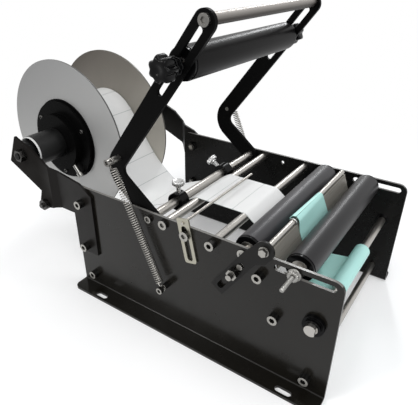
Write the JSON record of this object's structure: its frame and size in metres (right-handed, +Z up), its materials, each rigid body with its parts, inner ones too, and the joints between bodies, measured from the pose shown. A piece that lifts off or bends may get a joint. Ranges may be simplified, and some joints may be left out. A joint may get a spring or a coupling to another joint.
{
  "type": "bottle labeling machine",
  "caption": "Bench-top manual bottle labeler: bent side plates, label reel, bottle rollers, peel bar, liner take-up with crank and a sprung lever carrying a press roller.",
  "frame": {"origin": "centre of the four foot slots, on the plane of the feet's undersides", "axes": "+X towards the operator's end with the front roller, +Y towards the crank side, +Z up"},
  "size_m": [0.4965, 0.308, 0.3365],
  "materials": {
    "plate_black": "satin",
    "bracket_black": "satin",
    "bright_steel": "bright",
    "zinc_screws": "satin",
    "black_steel": "satin",
    "roller_rubber": "satin",
    "black_plastic": "matte",
    "white_plastic": "matte",
    "disc_alloy": "satin",
    "peel_sheet": "satin",
    "yellow_zinc": "satin",
    "label_paper": "matte paper",
    "liner_paper": "glossy coated paper"
  },
  "bodies": {
    "frame": {"left_side_plate": "plate_black", "right_side_plate": "plate_black", "left_reel_bracket": "bracket_black", "right_reel_bracket": "bracket_black", "plate_screws": "zinc_screws", "bracket_hardware": "black_steel", "pivot_shaft": "bright_steel", "feed_bar": "bright_steel", "exit_bar": "bright_steel", "turn_bar": "bright_steel", "liner_bar": "bright_steel", "tie_rods": "bright_steel", "spring_anchors": "zinc_screws", "reel_shaft": "black_steel", "rear_roller_axle": "bright_steel", "take_up_bearings": "black_plastic", "peel_clamp": "zinc_screws", "label_web": "label_paper", "liner_web": "liner_paper", "left_spring": "bright_steel", "right_spring": "bright_steel"},
    "lever": {"left_lever_arm": "bracket_black", "right_lever_arm": "bracket_black", "handle_rod": "bright_steel", "lever_fasteners": "zinc_screws"},
    "press_carriage": {"press_axle": "bright_steel"},
    "left_knob": {"left_knob": "black_plastic"},
    "right_knob": {"right_knob": "black_plastic"},
    "press_roller": {"press_sleeve": "roller_rubber", "press_caps": "black_plastic"},
    "rear_roller": {"rear_sleeve": "roller_rubber", "rear_caps": "black_plastic", "rear_bearings": "bright_steel"},
    "front_carriage": {"front_axle": "bright_steel", "front_axle_nuts": "zinc_screws"},
    "front_roller": {"front_sleeve": "roller_rubber", "front_caps": "black_plastic", "front_bearings": "bright_steel"},
    "peel_slider": {"left_peel_slider": "bracket_black", "peel_rod": "bright_steel", "peel_plate": "peel_sheet", "peel_fasteners": "zinc_screws"},
    "wire_slide": {"wire_strip": "yellow_zinc", "press_wire": "bright_steel"},
    "left_collar": {"left_collar": "black_plastic"},
    "right_collar": {"right_collar": "black_plastic"},
    "left_thumb": {"left_thumb_screw": "zinc_screws"},
    "right_thumb": {"right_thumb_screw": "zinc_screws"},
    "reel": {"hub_tube": "black_plastic", "hub_rings": "white_plastic", "right_hub_flange": "black_plastic", "right_reel_disc": "disc_alloy", "label_roll": "label_paper"},
    "reel_flange": {"left_hub_flange": "black_plastic", "left_reel_disc": "disc_alloy", "flange_lock_screw": "zinc_screws"},
    "take_up": {"take_up_shaft": "bright_steel", "liner_roll": "liner_paper", "crank_arm": "bracket_black"},
    "crank_grip": {"crank_grip": "black_plastic"}
  },
  "joints": [
    {"name": "lever_swing", "type": "hinge", "parent": "frame", "child": "lever", "pos_m": [-0.0495, 0, 0.131], "axis": [0, 1, 0], "range_deg": [0, 60], "stiffness_Nm_per_rad": 0.12, "springref_deg": -148.97, "deforming": ["left_spring", "right_spring"]},
    {"name": "press_slide", "type": "slide", "parent": "lever", "child": "press_carriage", "axis": [0.6092, 0, 0.793], "range_m": [-0.032, 0.022]},
    {"name": "press_spin", "type": "hinge", "parent": "press_carriage", "child": "press_roller", "pos_m": [-0.01051, 0, 0.29089], "axis": [0, 1, 0], "continuous": true},
    {"name": "left_knob_turn", "type": "hinge", "parent": "press_carriage", "child": "left_knob", "pos_m": [-0.01051, -0.112, 0.29089], "axis": [0, -1, 0], "range_deg": [0, 360]},
    {"name": "right_knob_turn", "type": "hinge", "parent": "press_carriage", "child": "right_knob", "pos_m": [-0.01051, 0.112, 0.29089], "axis": [0, 1, 0], "range_deg": [0, 360]},
    {"name": "rear_spin", "type": "hinge", "parent": "frame", "child": "rear_roller", "pos_m": [0.0625, 0, 0.131], "axis": [0, 1, 0], "continuous": true},
    {"name": "front_slide", "type": "slide", "parent": "frame", "child": "front_carriage", "axis": [1, 0, 0], "range_m": [-0.003, 0.033]},
    {"name": "front_spin", "type": "hinge", "parent": "front_carriage", "child": "front_roller", "pos_m": [0.1145, 0, 0.131], "axis": [0, 1, 0], "continuous": true},
    {"name": "peel_slide", "type": "slide", "parent": "frame", "child": "peel_slider", "axis": [0.5621, 0, 0.8271], "range_m": [-0.0025, 0.005], "deforming": ["label_web", "liner_web"]},
    {"name": "wire_slide", "type": "slide", "parent": "frame", "child": "wire_slide", "axis": [-0.2079, 0, 0.9781], "range_m": [0, 0.02]},
    {"name": "left_collar_slide", "type": "slide", "parent": "frame", "child": "left_collar", "axis": [0, -1, 0], "range_m": [0, 0.03]},
    {"name": "right_collar_slide", "type": "slide", "parent": "frame", "child": "right_collar", "axis": [0, 1, 0], "range_m": [0, 0.05]},
    {"name": "left_thumb_turn", "type": "hinge", "parent": "left_collar", "child": "left_thumb", "pos_m": [-0.0495, -0.0595, 0.14], "axis": [0, 0, 1], "range_deg": [0, 360]},
    {"name": "right_thumb_turn", "type": "hinge", "parent": "right_collar", "child": "right_thumb", "pos_m": [-0.0495, 0.0345, 0.131], "axis": [-0.848, 0, 0.5299], "range_deg": [0, 360]},
    {"name": "reel_spin", "type": "hinge", "parent": "frame", "child": "reel", "pos_m": [-0.2375, 0, 0.161], "axis": [0, 1, 0], "continuous": true},
    {"name": "reel_flange_slide", "type": "slide", "parent": "reel", "child": "reel_flange", "axis": [0, -1, 0], "range_m": [0, 0.028]},
    {"name": "take_up_spin", "type": "hinge", "parent": "frame", "child": "take_up", "pos_m": [0.1385, 0, 0.087], "axis": [0, 1, 0], "continuous": true},
    {"name": "grip_spin", "type": "hinge", "parent": "take_up", "child": "crank_grip", "pos_m": [0.1385, 0.146, 0.025], "axis": [0, 1, 0], "continuous": true}
  ],
  "couplings": [
    {"joint": "take_up_spin", "follows": "reel_spin", "ratio": -5.8824}
  ]
}
